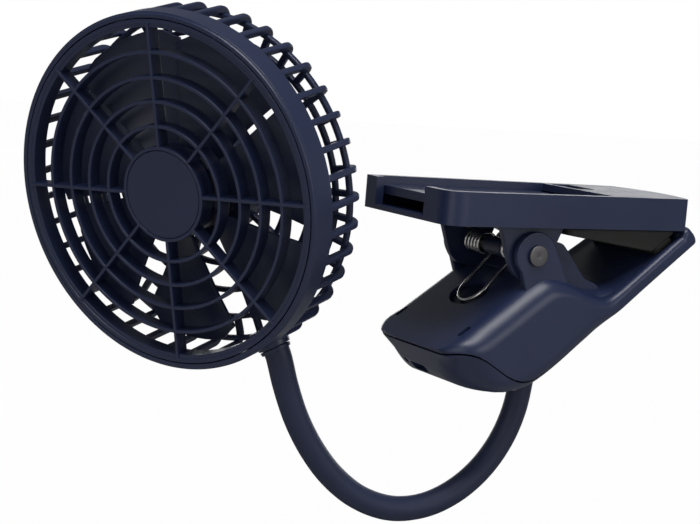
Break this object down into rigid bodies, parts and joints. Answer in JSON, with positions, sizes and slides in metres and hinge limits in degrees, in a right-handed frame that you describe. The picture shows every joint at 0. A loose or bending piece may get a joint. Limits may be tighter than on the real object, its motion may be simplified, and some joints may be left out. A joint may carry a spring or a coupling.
{
  "type": "clip fan",
  "caption": "Clip-on fan with a caged round head on a bendable sleeved neck, carried by a sprung clip with a battery inside and a fold-out panel in its lever.",
  "frame": {"origin": "centre of the lower jaw pad's gripping face", "axes": "+X along the clip's upper plate from its handle end to its jaw end, +Y across the plate, +Z out of the plate's top face"},
  "size_m": [0.217, 0.1098, 0.1664],
  "materials": {
    "navy_shell": "fine moulded texture, matt dark navy blue",
    "navy_guard": "smooth satin moulded navy blue",
    "navy_sleeve": "soft matt silicone sleeve, navy blue",
    "jaw_rubber": "matt dark olive black rubber",
    "nickel_wire": "bright drawn nickel-plated wire and pins",
    "inner_brass": "sintered bronze",
    "board_green": "solder mask green",
    "cell_foil": "foil pouch",
    "lamp_lens": "clear moulded light pipe"
  },
  "bodies": {
    "root": {"upper_shell": "navy_shell", "bottom_cover": "navy_shell", "cover_screw_1": "nickel_wire", "cover_screw_2": "nickel_wire", "cover_screw_3": "nickel_wire", "cover_screw_4": "nickel_wire", "battery_cell": "cell_foil", "circuit_board": "board_green", "usb_socket": "nickel_wire", "led_window": "lamp_lens", "lower_jaw_pad": "jaw_rubber", "hinge_pin": "nickel_wire", "pin_cap": "nickel_wire", "pin_bush": "navy_shell", "torsion_spring": "nickel_wire", "neck_ferrule_clip": "nickel_wire", "neck_sleeve_1": "navy_sleeve"},
    "lever": {"lever_plate": "navy_shell", "upper_jaw_pad": "jaw_rubber", "panel_pin": "nickel_wire"},
    "panel": {"fold_out_panel": "navy_shell"},
    "neck_2": {"neck_sleeve_2": "navy_sleeve"},
    "neck_3": {"neck_sleeve_3": "navy_sleeve"},
    "neck_4": {"neck_sleeve_4": "navy_sleeve"},
    "neck_5": {"neck_sleeve_5": "navy_sleeve"},
    "head": {"neck_sleeve_6": "navy_sleeve", "neck_ferrule_head": "navy_shell", "rear_cage": "navy_shell", "front_guard": "navy_guard", "hub_cap": "navy_guard", "motor_can": "nickel_wire", "motor_bearing": "inner_brass", "motor_screw_1": "nickel_wire", "motor_screw_2": "nickel_wire", "motor_screw_3": "nickel_wire", "motor_board": "board_green", "motor_cover": "navy_shell"},
    "rotor": {"impeller": "navy_shell", "motor_shaft": "nickel_wire"},
    "button": {"power_button": "navy_shell"}
  },
  "joints": [
    {"name": "clip_hinge", "type": "hinge", "parent": "root", "child": "lever", "pos_m": [-0.05429, 0, -0.00482], "axis": [0, -1, 0], "range_deg": [0, 40], "stiffness_Nm_per_rad": 0.8, "springref_deg": -28.65, "deforming": ["torsion_spring"]},
    {"name": "panel_hinge", "type": "hinge", "parent": "lever", "child": "panel", "pos_m": [-0.02639, 0, 0.01128], "axis": [0, 1, 0], "range_deg": [0, 90]},
    {"name": "neck_bend_1", "type": "hinge", "parent": "root", "child": "neck_2", "pos_m": [-0.04042, 0, -0.05396], "axis": [0, 1, 0], "range_deg": [-20, 8]},
    {"name": "neck_bend_2", "type": "hinge", "parent": "neck_2", "child": "neck_3", "pos_m": [-0.05261, 0, -0.08111], "axis": [0.7306, 0, -0.6828], "range_deg": [-18, 18]},
    {"name": "neck_bend_3", "type": "hinge", "parent": "neck_3", "child": "neck_4", "pos_m": [-0.07903, 0, -0.09454], "axis": [0, 1, 0], "range_deg": [-20, 8]},
    {"name": "neck_bend_4", "type": "hinge", "parent": "neck_4", "child": "neck_5", "pos_m": [-0.10725, 0, -0.08571], "axis": [0.6109, 0, 0.7917], "range_deg": [-18, 18]},
    {"name": "neck_bend_5", "type": "hinge", "parent": "neck_5", "child": "head", "pos_m": [-0.12624, 0, -0.06241], "axis": [0, 1, 0], "range_deg": [-20, 10]},
    {"name": "rotor_spin", "type": "hinge", "parent": "head", "child": "rotor", "pos_m": [-0.17499, 0.0078, 0.00788], "axis": [0.8449, 0.4967, 0.1988], "continuous": true},
    {"name": "button_press", "type": "slide", "parent": "head", "child": "button", "axis": [-0.8449, -0.4967, -0.1988], "range_m": [0, 0.001], "stiffness_N_per_m": 200, "springref_m": -0.001}
  ]
}
